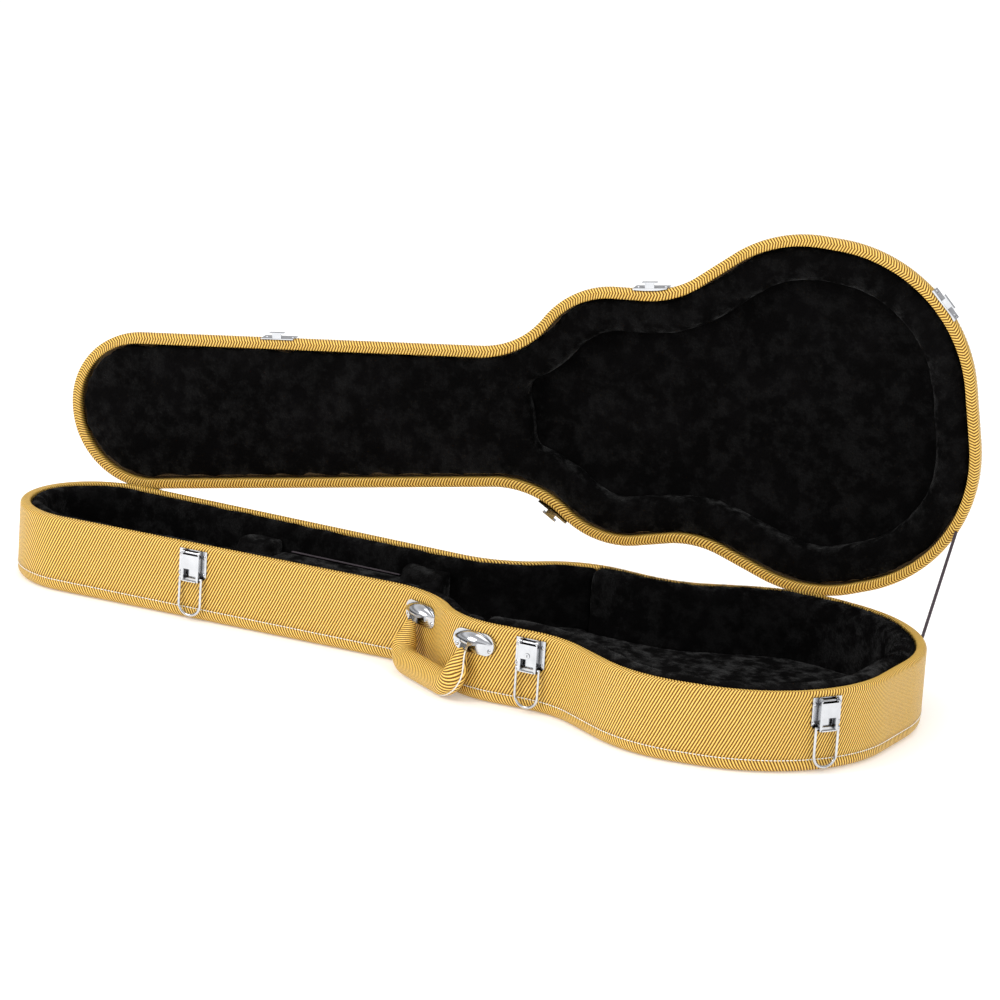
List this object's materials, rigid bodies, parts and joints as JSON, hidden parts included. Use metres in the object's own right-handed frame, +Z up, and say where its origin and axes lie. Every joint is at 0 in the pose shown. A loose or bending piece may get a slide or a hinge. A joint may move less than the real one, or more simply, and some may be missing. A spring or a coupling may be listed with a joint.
{
  "type": "hard guitar case",
  "caption": "Tweed-covered hard case shaped for a full-size electric guitar, plush lined, standing open on its back.",
  "frame": {"origin": "middle of the resting face, halfway along the case's length", "axes": "+X to the tail (body) end, -Y to the side with the handle and the front latches, +Z up out of the tray"},
  "size_m": [1.1025, 0.4775, 0.4836],
  "materials": {
    "tweed": "woven diagonal tweed, lacquered",
    "plush": "short-pile black plush",
    "plywood": "bare",
    "nickel": "nickel plated, pressed steel",
    "thread": "cream stitching",
    "tape": "dark woven tape"
  },
  "bodies": {
    "tray": {"tray_wall": "plywood", "tray_bottom_panel": "plywood", "tray_side_covering": "tweed", "tray_bottom_covering": "tweed", "tray_seam_thread": "thread", "body_padding": "plush", "neck_padding": "plush", "body_floor_pad": "plush", "head_floor_pad": "plush", "heel_cradle": "plush", "head_cradle": "plush", "compartment_box": "plush", "compartment_hinge_tape": "tape", "hinge_tray_leaves": "nickel", "hinge_pins": "nickel", "hinge_tray_rivets": "nickel", "latch_plates": "nickel", "latch_rivets": "nickel", "latch_pins": "nickel", "handle_brackets": "nickel", "handle_bracket_rivets": "nickel", "handle_pivot_bars": "nickel", "stay_tape": "tape"},
    "lid": {"lid_wall": "plywood", "lid_top_panel": "plywood", "lid_side_covering": "tweed", "lid_top_covering": "tweed", "lid_seam_thread": "thread", "lid_body_padding": "plush", "lid_neck_padding": "plush", "lid_panel_lining": "plush", "hinge_lid_leaves": "nickel", "hinge_lid_rivets": "nickel", "keepers": "nickel", "keeper_rivets": "nickel"},
    "head_lever": {"head_latch_lever": "nickel"},
    "head_bail": {"head_latch_bail": "nickel"},
    "middle_lever": {"middle_latch_lever": "nickel"},
    "middle_bail": {"middle_latch_bail": "nickel"},
    "tail_lever": {"tail_latch_lever": "nickel"},
    "tail_bail": {"tail_latch_bail": "nickel"},
    "back_lever": {"back_latch_lever": "nickel"},
    "back_bail": {"back_latch_bail": "nickel"},
    "lock": {"lock_plug": "nickel"},
    "handle": {"handle_grip": "tweed", "handle_core": "nickel"},
    "compartment": {"compartment_lid": "plush", "compartment_pull_tab": "tape"}
  },
  "joints": [
    {"name": "lid_hinge", "type": "hinge", "parent": "tray", "child": "lid", "pos_m": [0.33297, 0.20589, 0.072], "axis": [0.9891, 0.1474, 0], "range_deg": [0, 86.5], "deforming": ["stay_tape"]},
    {"name": "head_latch_lever_pivot", "type": "hinge", "parent": "tray", "child": "head_lever", "pos_m": [-0.27177, -0.09841, 0.078], "axis": [-0.999, -0.0454, 0], "range_deg": [0, 135]},
    {"name": "head_latch_bail_pivot", "type": "hinge", "parent": "head_lever", "child": "head_bail", "pos_m": [-0.27177, -0.09841, 0.049], "axis": [0.999, 0.0454, 0], "range_deg": [-180, 0]},
    {"name": "middle_latch_lever_pivot", "type": "hinge", "parent": "tray", "child": "middle_lever", "pos_m": [0.18209, -0.15198, 0.078], "axis": [-0.9999, -0.0133, 0], "range_deg": [0, 135]},
    {"name": "middle_latch_bail_pivot", "type": "hinge", "parent": "middle_lever", "child": "middle_bail", "pos_m": [0.18209, -0.15198, 0.049], "axis": [0.9999, 0.0133, 0], "range_deg": [-180, 0]},
    {"name": "tail_latch_lever_pivot", "type": "hinge", "parent": "tray", "child": "tail_lever", "pos_m": [0.51816, -0.12794, 0.078], "axis": [-0.5542, -0.8324, 0], "range_deg": [0, 135]},
    {"name": "tail_latch_bail_pivot", "type": "hinge", "parent": "tail_lever", "child": "tail_bail", "pos_m": [0.51816, -0.12794, 0.049], "axis": [0.5542, 0.8324, 0], "range_deg": [-180, 0]},
    {"name": "back_latch_lever_pivot", "type": "hinge", "parent": "tray", "child": "back_lever", "pos_m": [0.03949, 0.11208, 0.078], "axis": [0.7547, 0.6561, 0], "range_deg": [0, 135]},
    {"name": "back_latch_bail_pivot", "type": "hinge", "parent": "back_lever", "child": "back_bail", "pos_m": [0.03949, 0.11208, 0.049], "axis": [-0.7547, -0.6561, 0], "range_deg": [-180, 0]},
    {"name": "lock_turn", "type": "hinge", "parent": "middle_lever", "child": "lock", "pos_m": [0.18214, -0.15538, 0.064], "axis": [0.0133, -0.9999, 0], "range_deg": [0, 90]},
    {"name": "handle_swing", "type": "hinge", "parent": "tray", "child": "handle", "pos_m": [0.06268, -0.12708, 0.0645], "axis": [-0.8612, 0.5082, 0], "range_deg": [0, 60]},
    {"name": "compartment_hinge", "type": "hinge", "parent": "tray", "child": "compartment", "pos_m": [-0.161, 0.05, 0.055], "axis": [1, 0, 0], "range_deg": [-95, 0]}
  ]
}
